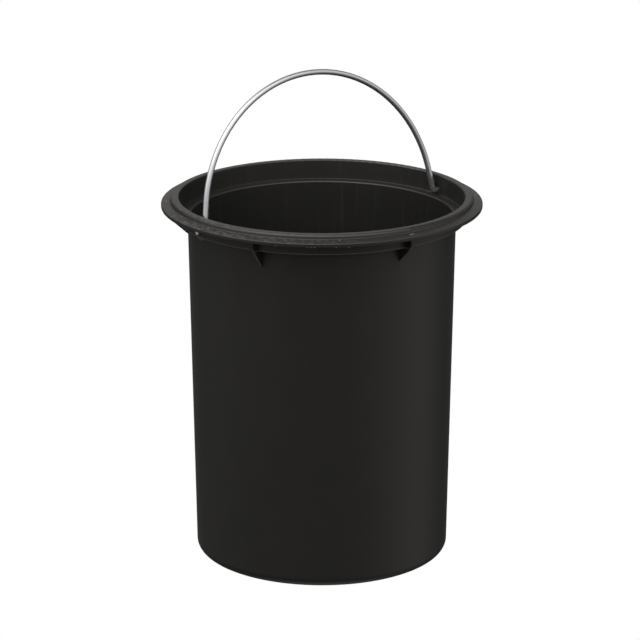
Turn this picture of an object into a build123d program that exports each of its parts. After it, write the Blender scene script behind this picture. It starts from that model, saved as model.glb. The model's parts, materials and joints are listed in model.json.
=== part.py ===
from build123d import *
import math
import os

# A moulded florist's bucket with a stepped rim, and the wire bail that folds down inside its neck.
# The frame: Z is the bucket's axis and points up, Z = 0 is the surface it stands on, and X is the
# bail's pivot axis. All lengths are in millimetres, and all "drops" are measured down from the rim.

# Overall
bucket_height = 288.2          # standing surface to the top of the rim
body_radius = 104.5            # outside of the body, just below the neck

# Body: a slightly tapered pail
body_taper = 5.0               # how much smaller its radius is at the base
body_wall = 2.0
floor_thickness = 2.5
base_corner_radius = 7.0       # outside corner between wall and foot
foot_ring_width = 8.0          # flat ring that the bucket stands on
foot_recess = 1.5              # how far the floor panel is raised inside the foot ring
recess_slope = 3.0             # radial width of the slope between ring and panel
gate_radius = 3.0              # stub left where the plastic was injected, under the panel
gate_height = 0.6

# Neck: a wider collar above the body, with a ledge inside
ledge_width = 8.0
ledge_drop = 15.4
ledge_thickness = 1.5
neck_wall = 2.4                # at the ledge
neck_draft = 0.8               # how much wider the neck opens from the ledge to the rim

# Rim: a raised ring with an open channel underneath, and a flat flange outside it
rim_wall = 2.0
rim_width = 6.2                # top of the ring
riser_lean = 0.5               # how far the ring's outer side leans out on its way down
riser_drop = 3.3               # from the rim to the flange
flange_width = 7.0
flange_slope = 1.7             # fall of the flange's top, from the ring to its edge
flange_edge_thickness = 2.8

# Edge rounds of the moulding
ring_inner_round = 0.8
ring_outer_round = 2.0         # the ring's top rolls over into its outer side
edge_round = 0.6
root_round = 0.5
ledge_round = 1.1
ledge_root_round = 0.3         # inner corner between ledge and neck

# Gussets: thin radial plates under the flange, of two lengths in turn
gusset_count = 6
gusset_first_angle = 30.0
gusset_thickness = 1.3
gusset_inset = 5.0             # gusset's outer edge inside the flange's edge
gusset_knee_radius = 9.0
short_upright = 7.6            # height of a short gusset's outer edge, before it turns in
short_reach = 12.2             # how far it runs down the body below the neck
long_upright = 6.4
long_reach = 14.8

# Bail: one round wire
wire_diameter = 4.5
bail_wall_gap = 2.6            # between the wire and the neck's wall all the way round
bail_lift = 1.5                # centre of the arch above the pivot axis
bail_fold_gap = 0.95           # between the folded wire and the ledge
bail_side_play = 0.2           # between the end of the wire's bend and the pivot boss
bail_bend_radius = 2.8         # centre line of the bend between a leg and its end
bail_lean = 9.8                # degrees from upright, towards +Y, as the bail is stored
tip_overhang = 2.4             # wire end outside the neck
tip_chamfer = 0.4

# Pivot holes
hole_clearance = 0.08          # radial, between wire and hole
boss_height = 0.4              # raised pad round the hole, on the neck's inner wall
boss_rim = 4.6                 # radial width of that pad

# Levels above the standing surface
panel_level = foot_recess + floor_thickness
ledge_level = bucket_height - ledge_drop
neck_base_level = ledge_level - ledge_thickness
channel_level = bucket_height - rim_wall
flange_root_level = bucket_height - riser_drop
flange_edge_level = flange_root_level - flange_slope
flange_under_level = flange_edge_level - flange_edge_thickness

# Radii, from the foot outwards
body_base_radius = body_radius - body_taper
foot_outer_radius = body_base_radius - base_corner_radius
foot_inner_radius = foot_outer_radius - foot_ring_width
panel_radius = foot_inner_radius - recess_slope
neck_base_radius = body_radius - body_wall + ledge_width
neck_outer_radius = neck_base_radius + neck_wall
neck_middle_radius = neck_base_radius + neck_wall / 2
rim_inner_radius = neck_base_radius + neck_draft
rim_top_radius = rim_inner_radius + rim_width
flange_root_radius = rim_top_radius + riser_lean
flange_radius = flange_root_radius + flange_width

# Pivot and bail
wire_radius = wire_diameter / 2
hole_radius = wire_radius + hole_clearance
pivot_level = ledge_level + bail_fold_gap + wire_radius
neck_radius_at_pivot = neck_base_radius + neck_draft * (pivot_level - ledge_level) / ledge_drop
boss_face = neck_radius_at_pivot - boss_height
arch_radius = neck_radius_at_pivot - bail_wall_gap - wire_radius
bend_end = boss_face - bail_side_play
wire_end = neck_outer_radius + tip_overhang
# A straight leg touches the arch, splays by leg_angle from upright, and touches the bend:
# bend_end * cos + (bail_bend_radius - bail_lift) * sin = arch_radius + bail_bend_radius.
leg_offset = math.atan2(bail_bend_radius - bail_lift, bend_end)
leg_reach = math.hypot(bend_end, bail_bend_radius - bail_lift)
leg_angle = leg_offset + math.acos((arch_radius + bail_bend_radius) / leg_reach)


def body_outer_radius(level):
    """Radius of the body's outside at a level, on a straight taper from base to neck."""
    return body_base_radius + body_taper * level / neck_base_level


def shell_profile():
    """Half section of the moulding: each corner's (radius, level) and the round at that corner."""
    body_inner_top = body_outer_radius(ledge_level) - body_wall
    body_inner_base = body_outer_radius(floor_thickness) - body_wall
    channel_outer_top = rim_top_radius + riser_lean * rim_wall / riser_drop - rim_wall
    channel_outer_base = flange_root_radius - rim_wall
    floor_corner_radius = base_corner_radius - body_wall
    return [
        # underside
        ((0, foot_recess), 0),
        ((panel_radius, foot_recess), root_round),
        ((foot_inner_radius, 0), root_round),
        ((body_base_radius, 0), base_corner_radius),
        # outside, upwards
        ((body_outer_radius(neck_base_level), neck_base_level), edge_round),
        ((neck_outer_radius, neck_base_level), edge_round),
        ((neck_outer_radius, channel_level), root_round),
        ((channel_outer_top, channel_level), root_round),
        ((channel_outer_base, flange_under_level), root_round),
        ((flange_radius, flange_under_level), edge_round),
        ((flange_radius, flange_edge_level), edge_round),
        ((flange_root_radius, flange_root_level), root_round),
        ((rim_top_radius, bucket_height), ring_outer_round),
        # inside, downwards
        ((rim_inner_radius, bucket_height), ring_inner_round),
        ((neck_base_radius, ledge_level), ledge_root_round),
        ((body_inner_top, ledge_level), ledge_round),
        ((body_inner_base, floor_thickness), floor_corner_radius),
        ((foot_inner_radius, floor_thickness), root_round),
        ((panel_radius, panel_level), root_round),
        ((0, panel_level), 0),
    ]


def rounded_outline(profile):
    """A closed outline in the XZ plane through a profile's corners, with its rounds."""
    corners = [(radius, 0, level) for (radius, level), _ in profile]
    rounds = [corner_round for _, corner_round in profile]
    return make_face(FilletPolyline(*corners, radius=rounds, close=True).edges())


def turned_shell():
    """The moulding without gussets and holes: its half section turned about the axis."""
    return revolve(rounded_outline(shell_profile()), axis=Axis.Z)


def gusset(upright, reach):
    """One radial plate on the +X side; its inner edges lie inside the walls that it joins."""
    foot_level = neck_base_level - reach
    knee_level = flange_under_level - upright
    outer = flange_radius - gusset_inset
    slope = (outer - body_outer_radius(foot_level)) / (knee_level - foot_level)
    in_body = body_outer_radius(foot_level) - body_wall / 2
    in_riser = flange_root_radius - rim_wall / 2
    in_ring = bucket_height - rim_wall / 2
    in_flange = flange_under_level + flange_edge_thickness / 2
    in_ledge = ledge_level - ledge_thickness / 2
    plate = rounded_outline([
        ((in_body, foot_level - body_wall / 2 / slope), 0),
        ((outer, knee_level), gusset_knee_radius),
        ((outer, in_flange), 0),
        ((in_riser, in_flange), 0),
        ((in_riser, in_ring), 0),
        ((neck_middle_radius, in_ring), 0),
        ((neck_middle_radius, in_ledge), 0),
        ((in_body, in_ledge), 0),
    ])
    return extrude(plate, amount=gusset_thickness / 2, dir=(0, 1, 0), both=True)


def along_pivot(radius, start, end):
    """A cylinder about the pivot axis, between two X values."""
    middle = (start + end) / 2
    return Pos(middle, 0, pivot_level) * Rot(0, 90, 0) * Cylinder(radius, end - start)


def gate_stub():
    """The low round stub in the middle of the underside; it reaches into the floor panel."""
    reach = floor_thickness / 2
    middle = foot_recess + (reach - gate_height) / 2
    return Pos(0, 0, middle) * Cylinder(gate_radius, gate_height + reach)


def moulded_bucket():
    """The whole moulding: shell, gate stub, gussets, pivot bosses and pivot holes."""
    bucket = turned_shell() + gate_stub()
    gussets = (gusset(short_upright, short_reach), gusset(long_upright, long_reach))
    for index in range(gusset_count):
        angle = gusset_first_angle + index * 360 / gusset_count
        bucket += Rot(0, 0, angle) * gussets[index % 2]
    boss = along_pivot(hole_radius + boss_rim, boss_face, neck_middle_radius)
    hole = along_pivot(hole_radius, arch_radius, wire_end)
    for side in (0, 180):
        bucket += Rot(0, 0, side) * boss
        bucket -= Rot(0, 0, side) * hole
    return bucket


def arc_in_xz(centre_x, centre_z, radius, start, sweep_angle):
    """A circular arc in the XZ plane, from a start angle measured from +X towards +Z."""
    return Plane.XZ * CenterArc((centre_x, centre_z), radius, start, sweep_angle)


def wire_path():
    """The upright wire's centre line: end, bend, leg, arch, leg, bend, end, all tangent."""
    arch_level = pivot_level + bail_lift
    bend_level = pivot_level + bail_bend_radius
    splay = math.degrees(leg_angle)
    turn = 90 - splay
    foot_x = bend_end - bail_bend_radius * math.cos(leg_angle)
    foot_level = bend_level - bail_bend_radius * math.sin(leg_angle)
    head_x = arch_radius * math.cos(leg_angle)
    head_level = arch_level + arch_radius * math.sin(leg_angle)
    return Wire([
        Line((wire_end, 0, pivot_level), (bend_end, 0, pivot_level)),
        arc_in_xz(bend_end, bend_level, bail_bend_radius, 270, -turn),
        Line((foot_x, 0, foot_level), (head_x, 0, head_level)),
        arc_in_xz(0, arch_level, arch_radius, splay, 180 - 2 * splay),
        Line((-head_x, 0, head_level), (-foot_x, 0, foot_level)),
        arc_in_xz(-bend_end, bend_level, bail_bend_radius, -splay, -turn),
        Line((-bend_end, 0, pivot_level), (-wire_end, 0, pivot_level)),
    ])


def wire_bail():
    """The bail: a round wire swept along its path, with chamfered ends, then leaned to rest."""
    section = Plane((wire_end, 0, pivot_level), z_dir=(-1, 0, 0)) * Circle(wire_radius)
    upright = sweep(section, path=wire_path())
    end_edges = upright.faces().filter_by(Axis.X).edges()
    upright = chamfer(end_edges, tip_chamfer)
    pivot_axis = Axis((0, 0, pivot_level), (1, 0, 0))
    return upright.rotate(pivot_axis, -bail_lean)


os.makedirs("parts", exist_ok=True)
export_step(moulded_bucket(), "parts/moulded_bucket.step")
export_step(wire_bail(), "parts/wire_bail.step")
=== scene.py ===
"""Looks of the florist's bucket: a black moulded polypropylene bucket with a bright drawn-wire bail.

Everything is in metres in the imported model's frame: Z is the bucket's axis, X is the bail's pivot axis,
and Z = 0 is the surface that the bucket stands on.
"""
import json
import math

import bpy
import numpy as np
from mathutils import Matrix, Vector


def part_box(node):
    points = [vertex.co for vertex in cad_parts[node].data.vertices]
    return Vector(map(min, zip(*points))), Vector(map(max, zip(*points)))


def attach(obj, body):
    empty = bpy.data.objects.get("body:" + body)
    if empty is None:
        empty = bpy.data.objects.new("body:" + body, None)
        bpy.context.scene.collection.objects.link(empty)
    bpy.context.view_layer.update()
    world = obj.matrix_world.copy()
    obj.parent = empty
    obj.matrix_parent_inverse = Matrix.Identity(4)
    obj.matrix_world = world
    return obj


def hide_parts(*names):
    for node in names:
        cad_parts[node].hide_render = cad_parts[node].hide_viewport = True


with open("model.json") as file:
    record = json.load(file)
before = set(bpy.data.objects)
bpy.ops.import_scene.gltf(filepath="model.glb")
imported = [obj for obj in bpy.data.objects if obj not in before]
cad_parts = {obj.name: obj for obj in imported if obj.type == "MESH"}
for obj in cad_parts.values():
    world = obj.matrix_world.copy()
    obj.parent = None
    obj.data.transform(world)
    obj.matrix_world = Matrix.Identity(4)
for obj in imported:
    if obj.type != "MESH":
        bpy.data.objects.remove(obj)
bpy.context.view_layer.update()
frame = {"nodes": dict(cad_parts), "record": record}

MM = 0.001

# Sizes that the looks share with the frame
bucket_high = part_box("moulded_bucket")[1]
rim_level = bucket_high[2]
flange_radius = bucket_high[0]
pivot_level = frame["record"]["behaviour"]["joints"][0]["pos_m"][2]
flange_edge_level = rim_level - 5.0 * MM
flange_under_level = rim_level - 7.8 * MM
neck_base_level = rim_level - 16.9 * MM
knee_level = rim_level - 14.6 * MM
neck_radius = flange_radius - 12.1 * MM
body_radius = flange_radius - 20.5 * MM


def linear(hex_colour):
    """An sRGB hex colour as linear RGBA."""
    parts = [int(hex_colour[i:i + 2], 16) / 255 for i in (1, 3, 5)]
    return tuple(c / 12.92 if c <= 0.04045 else ((c + 0.055) / 1.055) ** 2.4 for c in parts) + (1.0,)


def add_node(tree, kind, settings=None, links=None):
    """Adds a node: settings are its attributes or input values by name, links join its inputs to outputs."""
    node = tree.nodes.new(kind)
    for name, value in (settings or {}).items():
        if isinstance(name, str) and hasattr(node, name):
            setattr(node, name, value)
        else:
            node.inputs[name].default_value = value
    for name, source in (links or {}).items():
        tree.links.new(source, node.inputs[name])
    return node


# ---------------------------------------------------------------- shapes

def surface_mesh(name, points):
    """A tube-like grid as a mesh: points[i, j] goes along the piece with i and round it with j.

    Quads join each point to the next along and the next round, wrapping round in j, and a fan of
    triangles closes each end on the middle of its ring. U goes from 0 to 1 round the piece and V from
    0 to 1 along it.
    """
    along, around = points.shape[:2]
    i, j = np.meshgrid(np.arange(along - 1), np.arange(around), indexing="ij")
    here = i * around + j
    beside = i * around + (j + 1) % around
    quads = np.stack([here, beside, beside + around, here + around], -1)
    vertices = np.vstack([points.reshape(-1, 3), points[0].mean(0), points[-1].mean(0)])
    first_middle, last_middle = along * around, along * around + 1
    ring = np.arange(around)
    next_in_ring = (ring + 1) % around
    last_ring = (along - 1) * around
    faces = quads.reshape(-1, 4).tolist()
    faces += np.stack([np.full(around, first_middle), next_in_ring, ring], -1).tolist()
    faces += np.stack([np.full(around, last_middle), ring + last_ring, next_in_ring + last_ring], -1).tolist()
    uv = [np.stack([np.stack([j, j + 1, j + 1, j], -1) / around,
                    np.stack([i, i, i + 1, i + 1], -1) / (along - 1)], -1).reshape(-1, 2)]
    for v, corners in ((0.0, (0.5, 1, 0)), (1.0, (0.5, 0, 1))):
        fan_u = np.stack([ring + step for step in corners], -1) / around
        uv.append(np.stack([fan_u, np.full_like(fan_u, v)], -1).reshape(-1, 2))
    mesh = bpy.data.meshes.new(name)
    mesh.from_pydata(vertices.tolist(), [], faces)
    layer = mesh.uv_layers.new(name="along")
    layer.data.foreach_set("uv", np.vstack(uv).ravel().astype(np.float32))
    mesh.shade_smooth()
    piece = bpy.data.objects.new(name, mesh)
    bpy.context.scene.collection.objects.link(piece)
    return piece


# The bail, upright before it leans: its arch's centre is arch_lift above the pivot, each pin runs in
# from wire_end to bend_end, and a bend of bend_radius turns it up into the leg
wire_radius = 2.22 * MM
wire_sides = 48
bend_radius = 2.8 * MM
bend_steps = 17
arch_radius = 105.816 * MM
arch_lift = 1.5 * MM
arch_steps = 97
leg_steps = 9
bend_end = 110.066 * MM
wire_end = 115.3 * MM
tip_chamfer = 0.4 * MM
bail_lean = math.radians(9.8)


def bail_line():
    """Centre line of the upright bail from the right pin to the left one, and its tangent angles.

    The angle is that of the way the line runs, from +X towards +Z. It is constant on the pins and legs
    and changes evenly with length on the bends and the arch. The legs lean in by splay, the angle at
    which a straight line touches both the arch's circle and the bend's, so the runs join smoothly.
    """
    reach = math.hypot(bend_end, bend_radius - arch_lift)
    splay = (math.atan2(bend_radius - arch_lift, bend_end)
             + math.acos((arch_radius + bend_radius) / reach))
    quarter = math.pi / 2
    foot = np.array([bend_end - bend_radius * math.cos(splay), bend_radius - bend_radius * math.sin(splay)])
    head = np.array([arch_radius * math.cos(splay), arch_lift + arch_radius * math.sin(splay)])
    # the first steps are close, to carry the chamfer
    pin_x = wire_end - np.array([0, 0.05, 0.15, 0.35, 0.45, 0.6, 1.0, 2.0, 3.0, 4.0, 5.0]) * MM
    pin = np.stack([pin_x, np.zeros_like(pin_x)], -1)
    bend_turn = (quarter - splay) * np.linspace(0, 1, bend_steps)
    bend_angle = -quarter - bend_turn
    bend = np.stack([bend_end + bend_radius * np.cos(bend_angle),
                     bend_radius + bend_radius * np.sin(bend_angle)], -1)
    leg = foot + (head - foot) * np.linspace(0, 1, leg_steps)[1:-1, None]
    arch_angle = splay + (quarter - splay) * np.linspace(0, 1, arch_steps)
    arch = np.stack([arch_radius * np.cos(arch_angle), arch_lift + arch_radius * np.sin(arch_angle)], -1)
    tangents = np.concatenate([np.full(len(pin), 2 * quarter), 2 * quarter - bend_turn,
                               np.full(len(leg), quarter + splay), arch_angle + quarter])
    points = np.vstack([pin, bend, leg, arch])
    mirrored = points[-2::-1] * (-1, 1)
    return np.vstack([points, mirrored]), np.concatenate([tangents, 2 * math.pi - tangents[-2::-1]])


def wire_bail():
    """The bail: a circle carried along bail_line, its radius drawn in over the chamfer at both tips.

    A point is centre + radius * (cos a * normal + sin a * Y), where the normal is the tangent turned a
    quarter in the XZ plane; the whole is then turned about the pivot axis by the bail's lean.
    """
    line, tangents = bail_line()
    from_tip = np.minimum(np.abs(line[:, 0] - wire_end), np.abs(line[:, 0] + wire_end))
    on_pin = line[:, 1] == 0
    radius = np.where(on_pin, wire_radius - np.clip(tip_chamfer - from_tip, 0, tip_chamfer), wire_radius)
    turn = np.linspace(0, 2 * math.pi, wire_sides, endpoint=False)
    normal = np.stack([-np.sin(tangents), np.zeros_like(tangents), np.cos(tangents)], -1)
    centre = np.stack([line[:, 0], np.zeros(len(line)), line[:, 1]], -1)
    ring = (np.cos(turn)[None, :, None] * normal[:, None, :]
            + np.sin(turn)[None, :, None] * np.array([0, 1, 0])[None, None, :])
    points = centre[:, None, :] + radius[:, None, None] * ring
    up, side = points[..., 2], points[..., 1]
    leaned = np.stack([points[..., 0], side * math.cos(bail_lean) + up * math.sin(bail_lean),
                       up * math.cos(bail_lean) - side * math.sin(bail_lean) + pivot_level], -1)
    return surface_mesh("drawn_wire_bail", leaned)


bail = wire_bail()
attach(bail, "bail")
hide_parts("wire_bail")


# The camera's place round the Z axis: degrees to the right of straight in front, which is -Y
camera_azimuth = -34.3

# Small flaws left by moulding and handling, each a low mound half sunk in the face it sits on:
# degrees to the right of the camera, radius, level, half length round the bucket, half width
lower_lip = (flange_radius - 0.32 * MM, flange_under_level + 0.12 * MM)
on_flange = (flange_radius - 4.2 * MM, flange_edge_level + 1.0 * MM)
near_root = (flange_radius - 5.6 * MM, flange_edge_level + 1.34 * MM)
flaws = [
    (-5.0, *lower_lip, 0.9, 0.2), (-3.6, *lower_lip, 0.5, 0.2), (-2.5, *lower_lip, 0.7, 0.2),
    (5.0, *lower_lip, 0.6, 0.2), (9.3, *lower_lip, 0.9, 0.2), (-16.0, *lower_lip, 0.5, 0.2),
    (6.3, *near_root, 0.35, 0.3), (34.0, *on_flange, 2.5, 0.16), (-88.0, *on_flange, 0.5, 0.4),
    (97.0, *on_flange, 0.5, 0.4), (152.0, *lower_lip, 0.8, 0.2), (-140.0, *on_flange, 0.5, 0.4),
]


def surface_flaws():
    """All the flaws as one mesh of small closed mounds.

    Each is a sphere's grid of rings and two poles, stretched by its half length along the bucket's
    round and by its half width the other two ways, then set at its angle, radius and level.
    """
    rings, steps = 5, 10
    data = np.array(flaws)
    lift = np.linspace(-math.pi / 2, math.pi / 2, rings + 2)[1:-1]
    turn = np.linspace(0, 2 * math.pi, steps, endpoint=False)
    ball = np.stack([np.outer(np.cos(lift), np.cos(turn)), np.outer(np.cos(lift), np.sin(turn)),
                     np.repeat(np.sin(lift)[:, None], steps, 1)], -1).reshape(-1, 3)
    ball = np.vstack([ball, (0, 0, -1), (0, 0, 1)])
    spin = np.radians(camera_azimuth + data[:, 0])
    out = np.stack([np.sin(spin), -np.cos(spin), np.zeros_like(spin)], -1)
    side = np.stack([np.cos(spin), np.sin(spin), np.zeros_like(spin)], -1)
    up = np.broadcast_to(np.array([0.0, 0, 1]), out.shape)
    half = data[:, 3:5] * MM
    middle = out * data[:, 1:2] + up * data[:, 2:3]
    points = (middle[:, None] + ball[None, :, 0, None] * side[:, None] * half[:, None, 0:1]
              + ball[None, :, 1, None] * out[:, None] * half[:, None, 1:2]
              + ball[None, :, 2, None] * up[:, None] * half[:, None, 1:2])
    i, j = np.meshgrid(np.arange(rings - 1), np.arange(steps), indexing="ij")
    right = (j + 1) % steps
    quads = np.stack([i * steps + j, i * steps + right, (i + 1) * steps + right, (i + 1) * steps + j], -1)
    ring = np.arange(steps)
    low = np.stack([np.full(steps, rings * steps), (ring + 1) % steps, ring], -1)
    high = np.stack([np.full(steps, rings * steps + 1), ring + (rings - 1) * steps,
                     (ring + 1) % steps + (rings - 1) * steps], -1)
    starts = np.arange(len(data)) * len(ball)
    faces = [face for part in (quads.reshape(-1, 4), low, high)
             for face in (part[None] + starts[:, None, None]).reshape(-1, part.shape[-1]).tolist()]
    mesh = bpy.data.meshes.new("moulding_flaws")
    mesh.from_pydata(points.reshape(-1, 3).tolist(), [], faces)
    mesh.shade_smooth()
    piece = bpy.data.objects.new("moulding_flaws", mesh)
    bpy.context.scene.collection.objects.link(piece)
    return piece


marks = surface_flaws()
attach(marks, "bucket")


# ---------------------------------------------------------------- materials

polypropylene_ior = 1.49


def new_material(name):
    """A material with a Principled shader: the material, its node tree and the shader."""
    material = bpy.data.materials.new(name)
    material.use_nodes = True
    return material, material.node_tree, material.node_tree.nodes["Principled BSDF"]


def moulded_polypropylene():
    """Black polypropylene, injection moulded in a fine-textured steel tool and slightly handled.

    The tool's texture gives a satin face that spreads light widely; its turned rim insert leaves fine
    circular lines; the drawn core leaves faint upright streaks inside; the rim and flange are rubbed
    into a matte mottle where buckets are stacked and carried. A lighter colour paints highlights
    along the neck's lower edge and the gussets' sloping edges.
    """
    black = linear("#0f0f0e")
    rubbed_grey = linear("#3b3936")
    streaked_grey = linear("#191818")
    # lighter grey for the painted highlights on the neck's lower edge and the gussets' edges
    edge_highlight_grey = linear("#3d3a37")
    grain_width = 1.1 * MM
    cooling_width = 25 * MM
    streak_width = 2.2 * MM
    mottle_width = 3.2 * MM
    turning_pitch = 0.7 * MM
    material, tree, shader = new_material("black_moulded_polypropylene")
    place = add_node(tree, "ShaderNodeTexCoord").outputs["Object"]
    apart = add_node(tree, "ShaderNodeSeparateXYZ", None, {0: place})
    from_axis = add_node(tree, "ShaderNodeCombineXYZ", None,
                         {"X": apart.outputs["X"], "Y": apart.outputs["Y"]})
    radius = add_node(tree, "ShaderNodeVectorMath", {"operation": "LENGTH"}, {0: from_axis.outputs[0]})
    # how far a face looks away from the axis: 1 outside, -1 on the inner walls
    face = add_node(tree, "ShaderNodeNewGeometry").outputs["True Normal"]
    outward = add_node(tree, "ShaderNodeVectorMath", {"operation": "NORMALIZE"}, {0: from_axis.outputs[0]})
    looks_out = add_node(tree, "ShaderNodeVectorMath", {"operation": "DOT_PRODUCT"},
                         {0: face, 1: outward.outputs[0]})
    inner_wall = add_node(tree, "ShaderNodeMapRange", {"From Min": -0.2, "From Max": -0.8},
                          {"Value": looks_out.outputs["Value"]})
    # the tool's texture, drawn coarser than it is so that it shows
    grain = add_node(tree, "ShaderNodeTexNoise", {"Scale": 1 / grain_width, "Detail": 2.0, "Roughness": 0.6},
                     {"Vector": place})
    # slow changes of gloss where the melt cooled at different rates
    cooling = add_node(tree, "ShaderNodeTexNoise", {"Scale": 1 / cooling_width, "Detail": 3.0},
                       {"Vector": place})
    # upright streaks: the place is squeezed along Z
    stretched = add_node(tree, "ShaderNodeMapping", {"Scale": (1.0, 1.0, 0.03)}, {"Vector": place})
    streaks = add_node(tree, "ShaderNodeTexNoise", {"Scale": 1 / streak_width, "Detail": 2.0},
                       {"Vector": stretched.outputs[0]})
    streak_lines = add_node(tree, "ShaderNodeMapRange", {"From Min": 0.56, "From Max": 0.72},
                            {"Value": streaks.outputs[0]})
    streaked = add_node(tree, "ShaderNodeMath", {"operation": "MULTIPLY"},
                        {0: streak_lines.outputs[0], 1: inner_wall.outputs[0]})
    # only the top of the ring and the flange is rubbed and turned
    at_rim = add_node(tree, "ShaderNodeMapRange",
                      {"From Min": flange_under_level + 0.5 * MM, "From Max": flange_edge_level},
                      {"Value": apart.outputs["Z"]})
    upward = add_node(tree, "ShaderNodeSeparateXYZ", None, {0: face})
    looks_up = add_node(tree, "ShaderNodeMapRange", {"From Min": 0.5, "From Max": 0.85},
                        {"Value": upward.outputs["Z"]})
    near_rim = add_node(tree, "ShaderNodeMath", {"operation": "MULTIPLY"},
                        {0: at_rim.outputs[0], 1: looks_up.outputs[0]})
    mottle = add_node(tree, "ShaderNodeTexNoise",
                      {"Scale": 1 / mottle_width, "Detail": 4.0, "Roughness": 0.7}, {"Vector": place})
    mottled = add_node(tree, "ShaderNodeMapRange", {"From Min": 0.47, "From Max": 0.60},
                       {"Value": mottle.outputs[0]})
    # most of the wear is on the -X side, round the pivot that stands nearest to the hand
    handled_much = add_node(tree, "ShaderNodeMapRange",
                            {"From Min": -0.3 * flange_radius, "From Max": -flange_radius, "To Min": 0.12},
                            {"Value": apart.outputs["X"]})
    rubbed_here = add_node(tree, "ShaderNodeMath", {"operation": "MULTIPLY"},
                           {0: mottled.outputs[0], 1: handled_much.outputs[0]})
    rubbed = add_node(tree, "ShaderNodeMath", {"operation": "MULTIPLY"},
                      {0: rubbed_here.outputs[0], 1: near_rim.outputs[0]})
    # turned lines that change with the radius alone
    circles = add_node(tree, "ShaderNodeTexNoise",
                       {"noise_dimensions": "1D", "Scale": 1 / turning_pitch, "Detail": 1.0},
                       {"W": radius.outputs["Value"]})
    turned = add_node(tree, "ShaderNodeMath", {"operation": "MULTIPLY"},
                      {0: circles.outputs[0], 1: near_rim.outputs[0]})
    rubbed_colour = add_node(tree, "ShaderNodeMix", {"data_type": "RGBA", 6: black, 7: rubbed_grey},
                             {0: rubbed.outputs[0]})
    streak_colour = add_node(tree, "ShaderNodeMix", {"data_type": "RGBA", 7: streaked_grey},
                             {0: streaked.outputs[0], 6: rubbed_colour.outputs[2]})
    # painted highlights, a lighter colour where light catches the neck's lower edge and the gussets'
    # edges; these are the only faces that look outward beyond the body's radius below the neck and beyond
    # the neck's radius above it
    wall = add_node(tree, "ShaderNodeMapRange",
                    {"From Min": neck_base_level - 0.2 * MM, "From Max": neck_base_level + 0.1 * MM,
                     "To Min": body_radius + 0.5 * MM, "To Max": neck_radius + 0.3 * MM},
                    {"Value": apart.outputs["Z"]})
    beyond = add_node(tree, "ShaderNodeMath", {"operation": "GREATER_THAN"},
                      {0: radius.outputs["Value"], 1: wall.outputs[0]})
    edge_face = add_node(tree, "ShaderNodeMath", {"operation": "GREATER_THAN", 1: 0.5},
                         {0: looks_out.outputs["Value"]})
    gusset_edge = add_node(tree, "ShaderNodeMath", {"operation": "MULTIPLY"},
                           {0: beyond.outputs[0], 1: edge_face.outputs[0]})
    # the painted highlight on a gusset stops at the knee, because the upright edge above it lies in the
    # flange's shadow
    below_knee = add_node(tree, "ShaderNodeMath", {"operation": "LESS_THAN", 1: knee_level},
                          {0: apart.outputs["Z"]})
    gusset_highlight = add_node(tree, "ShaderNodeMath", {"operation": "MULTIPLY"},
                           {0: gusset_edge.outputs[0], 1: below_knee.outputs[0]})
    # a painted highlight: a lighter line along the neck's lower edge, where its rounded edge catches light
    from_step = add_node(tree, "ShaderNodeMath", {"operation": "SUBTRACT", 1: neck_base_level + 0.35 * MM},
                         {0: apart.outputs["Z"]})
    near_step = add_node(tree, "ShaderNodeMath", {"operation": "ABSOLUTE"}, {0: from_step.outputs[0]})
    step_line = add_node(tree, "ShaderNodeMapRange", {"From Min": 0.75 * MM, "From Max": 0.45 * MM},
                         {"Value": near_step.outputs[0]})
    on_neck = add_node(tree, "ShaderNodeMath", {"operation": "GREATER_THAN", 1: neck_radius - 0.5 * MM},
                       {0: radius.outputs["Value"]})
    step_highlight = add_node(tree, "ShaderNodeMath", {"operation": "MULTIPLY"},
                         {0: step_line.outputs[0], 1: on_neck.outputs[0]})
    painted_highlight = add_node(tree, "ShaderNodeMath", {"operation": "MAXIMUM"},
                    {0: gusset_highlight.outputs[0], 1: step_highlight.outputs[0]})
    colour = add_node(tree, "ShaderNodeMix", {"data_type": "RGBA", 7: edge_highlight_grey},
                      {0: painted_highlight.outputs[0], 6: streak_colour.outputs[2]})
    tree.links.new(colour.outputs[2], shader.inputs["Base Color"])
    base_rough = add_node(tree, "ShaderNodeMapRange",
                          {"From Min": 0.3, "From Max": 0.7, "To Min": 0.435, "To Max": 0.465},
                          {"Value": cooling.outputs[0]})
    rough = add_node(tree, "ShaderNodeMath", {"operation": "MULTIPLY_ADD", 1: 0.14},
                     {0: rubbed.outputs[0], 2: base_rough.outputs[0]})
    tree.links.new(rough.outputs[0], shader.inputs["Roughness"])
    texture = add_node(tree, "ShaderNodeBump", {"Strength": 0.25, "Distance": 0.05 * MM},
                       {"Height": grain.outputs[0]})
    drag = add_node(tree, "ShaderNodeBump", {"Strength": 0.15, "Distance": 0.05 * MM},
                    {"Height": streaks.outputs[0], "Normal": texture.outputs[0]})
    lathe = add_node(tree, "ShaderNodeBump", {"Strength": 0.35, "Distance": 0.06 * MM},
                     {"Height": turned.outputs[0], "Normal": drag.outputs[0]})
    tree.links.new(lathe.outputs[0], shader.inputs["Normal"])
    shader.inputs["IOR"].default_value = polypropylene_ior
    shader.inputs["Specular Tint"].default_value = (1.0, 0.955, 0.90, 1.0)
    return material


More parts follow.
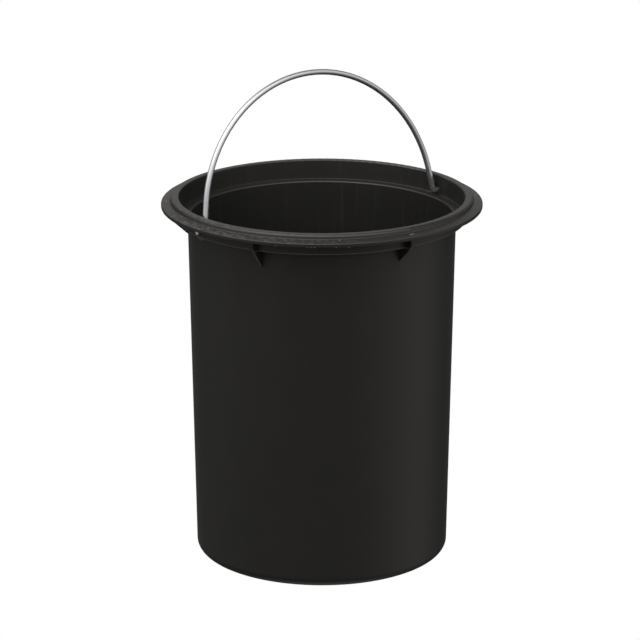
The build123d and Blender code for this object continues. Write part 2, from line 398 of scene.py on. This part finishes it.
def torn_polypropylene():
    """The same polypropylene where it was torn or scratched: stress whitens it and leaves it matte."""
    fibre_width = 0.4 * MM
    whitened = linear("#5f5d5a")
    palest = linear("#a5a29d")
    material, tree, shader = new_material("stress_whitened_polypropylene")
    place = add_node(tree, "ShaderNodeTexCoord").outputs["Object"]
    fibres = add_node(tree, "ShaderNodeTexNoise", {"Scale": 1 / fibre_width, "Detail": 3.0},
                      {"Vector": place})
    shade = add_node(tree, "ShaderNodeMix", {"data_type": "RGBA", 6: whitened, 7: palest},
                     {0: fibres.outputs[0]})
    tree.links.new(shade.outputs[2], shader.inputs["Base Color"])
    rough = add_node(tree, "ShaderNodeMapRange", {"To Min": 0.45, "To Max": 0.75},
                     {"Value": fibres.outputs[0]})
    tree.links.new(rough.outputs[0], shader.inputs["Roughness"])
    shader.inputs["IOR"].default_value = polypropylene_ior
    return material


def drawn_steel():
    """Bright steel wire, cold drawn through a die.

    Drawing leaves fine lines along the wire, so light spreads across it more than along it, and its gloss
    changes a little from patch to patch.
    """
    dark_line = linear("#9c9ea1")
    bright_line = linear("#bababa")
    sheared_steel = linear("#f2f0ec")
    patch_width = 4 * MM
    material, tree, shader = new_material("bright_drawn_steel_wire")
    uv = add_node(tree, "ShaderNodeUVMap", {"uv_map": "along"}).outputs[0]
    # die lines: about 0.25 mm apart round the wire and, on the arch, some 40 mm long
    lined = add_node(tree, "ShaderNodeMapping", {"Scale": (56.0, 9.0, 1.0)}, {"Vector": uv})
    lines = add_node(tree, "ShaderNodeTexNoise", {"Scale": 1.0, "Detail": 3.0, "Roughness": 0.6},
                     {"Vector": lined.outputs[0]})
    place = add_node(tree, "ShaderNodeTexCoord").outputs["Object"]
    patches = add_node(tree, "ShaderNodeTexNoise", {"Scale": 1 / patch_width, "Detail": 4.0},
                       {"Vector": place})
    # the sheared ends are rough and scatter light; the drawn wire is smooth
    apart = add_node(tree, "ShaderNodeSeparateXYZ", None, {0: place})
    reach = add_node(tree, "ShaderNodeMath", {"operation": "ABSOLUTE"}, {0: apart.outputs["X"]})
    sheared = add_node(tree, "ShaderNodeMath", {"operation": "GREATER_THAN", 1: wire_end - 1.2 * tip_chamfer},
                       {0: reach.outputs[0]})
    wire_rough = add_node(tree, "ShaderNodeMapRange",
                          {"From Min": 0.35, "From Max": 0.7, "To Min": 0.17, "To Max": 0.30},
                          {"Value": patches.outputs[0]})
    rough = add_node(tree, "ShaderNodeMath", {"operation": "MULTIPLY_ADD", 1: 0.45},
                     {0: sheared.outputs[0], 2: wire_rough.outputs[0]})
    tree.links.new(rough.outputs[0], shader.inputs["Roughness"])
    shade = add_node(tree, "ShaderNodeMix", {"data_type": "RGBA", 6: dark_line, 7: bright_line},
                     {0: lines.outputs[0]})
    end_shade = add_node(tree, "ShaderNodeMix", {"data_type": "RGBA", 7: sheared_steel},
                         {0: sheared.outputs[0], 6: shade.outputs[2]})
    tree.links.new(end_shade.outputs[2], shader.inputs["Base Color"])
    bump = add_node(tree, "ShaderNodeBump", {"Strength": 0.2, "Distance": 0.03 * MM},
                    {"Height": lines.outputs[0]})
    tree.links.new(bump.outputs[0], shader.inputs["Normal"])
    # a thin dull film of oxide scatters a little of the light
    shader.inputs["Metallic"].default_value = 0.86
    return material


bucket = frame["nodes"]["moulded_bucket"]
bucket.data.materials.clear()
bucket.data.materials.append(moulded_polypropylene())
bail.data.materials.append(drawn_steel())
marks.data.materials.append(torn_polypropylene())

# ---------------------------------------------------------------- floor, light and camera

floor_reach = 8.0
floor_drop = 0.1 * MM


def pale_floor():
    """A square that shines plain white to the camera and gives the bucket no light, shadow or reflection.

    It lies floor_drop below the bucket's foot, so that the two faces do not meet.
    """
    corners = [(floor_reach * x, floor_reach * y, -floor_drop)
               for x, y in ((-1, -1), (1, -1), (1, 1), (-1, 1))]
    mesh = bpy.data.meshes.new("pale_floor")
    mesh.from_pydata(corners, [], [(0, 1, 2, 3)])
    paint = bpy.data.materials.new("white_lit_floor")
    paint.use_nodes = True
    paint.node_tree.nodes.clear()
    glow = add_node(paint.node_tree, "ShaderNodeEmission", {"Color": (1, 1, 1, 1), "Strength": 1.0})
    add_node(paint.node_tree, "ShaderNodeOutputMaterial", None, {"Surface": glow.outputs[0]})
    mesh.materials.append(paint)
    floor = bpy.data.objects.new("pale_floor", mesh)
    bpy.context.scene.collection.objects.link(floor)
    floor.visible_glossy = False
    floor.visible_diffuse = False
    floor.visible_shadow = False
    return floor


pale_floor()

# Soft lamps round a light tent, one brightness to a group. Each lamp is its degrees to the right of the
# camera, its degrees up, its brightness and its tightness
overhead = 2.2
both_sides = 1.2
beside_camera = 0.5
far_side = 0.8
low_right = 0.5
low_elsewhere = 0.12
underneath = 0.9
bright_panel = 4.5
soft = 8
tight = 40
lamps = [(right, 55, overhead, soft) for right in (-90, -45, 0, 45)]
lamps += [(right, 20, both_sides, soft) for right in (-90, -45, 45, 90)]
lamps += [(0, 20, beside_camera, soft), (180, 20, far_side, soft)]
lamps += [(right, -20, low_elsewhere, soft) for right in (-120, 180)]
lamps += [(90, -20, low_right, soft), (0, -90, underneath, soft), (-50, 62, bright_panel, tight)]


def light_tent():
    """The world: plain white to the camera, and to everything else the sum of the lamps' patches.

    A patch is its lamp's brightness times the cosine of the angle from its middle, raised to the lamp's
    tightness, and nothing beyond a right angle.
    """
    world = bpy.data.worlds.new("light_tent")
    bpy.context.scene.world = world
    world.use_nodes = True
    tree = world.node_tree
    tree.nodes.clear()
    direction = add_node(tree, "ShaderNodeTexCoord").outputs["Generated"]
    total = None
    for right, height, brightness, tightness in lamps:
        turn = math.radians(camera_azimuth + right)
        rise = math.radians(height)
        middle = (math.sin(turn) * math.cos(rise), -math.cos(turn) * math.cos(rise), math.sin(rise))
        cosine = add_node(tree, "ShaderNodeVectorMath", {"operation": "DOT_PRODUCT", 1: middle},
                          {0: direction})
        facing = add_node(tree, "ShaderNodeMath", {"operation": "MAXIMUM", 1: 0.0},
                          {0: cosine.outputs["Value"]})
        patch = add_node(tree, "ShaderNodeMath", {"operation": "POWER", 1: tightness}, {0: facing.outputs[0]})
        share = add_node(tree, "ShaderNodeMath", {"operation": "MULTIPLY", 1: brightness},
                         {0: patch.outputs[0]})
        total = share if total is None else add_node(tree, "ShaderNodeMath", {"operation": "ADD"},
                                                     {0: total.outputs[0], 1: share.outputs[0]})
    lit = add_node(tree, "ShaderNodeBackground", None, {"Strength": total.outputs[0]})
    white = add_node(tree, "ShaderNodeBackground", {"Color": (1, 1, 1, 1), "Strength": 1.0})
    seen = add_node(tree, "ShaderNodeLightPath").outputs["Is Camera Ray"]
    mix = add_node(tree, "ShaderNodeMixShader", None, {0: seen, 1: lit.outputs[0], 2: white.outputs[0]})
    add_node(tree, "ShaderNodeOutputWorld", None, {"Surface": mix.outputs[0]})


light_tent()

camera_lens = 185.2
camera_distance = 2.47617
camera_height = 0.9412
camera_aside = 1.422 * MM
camera_pitch = 16.95


def set_camera():
    """The camera: on its azimuth at its distance from the axis, moved aside, and turned down by its pitch."""
    data = bpy.data.cameras.new("camera")
    data.lens = camera_lens
    data.sensor_width = 36
    data.clip_end = 50
    camera = bpy.data.objects.new("camera", data)
    bpy.context.scene.collection.objects.link(camera)
    azimuth = math.radians(camera_azimuth)
    camera.location = (camera_distance * math.sin(azimuth) - camera_aside * math.cos(azimuth),
                       -camera_distance * math.cos(azimuth) - camera_aside * math.sin(azimuth), camera_height)
    camera.rotation_euler = (math.radians(90 - camera_pitch), 0, azimuth)
    bpy.context.scene.camera = camera
    bpy.context.scene.view_settings.view_transform = "Standard"


set_camera()
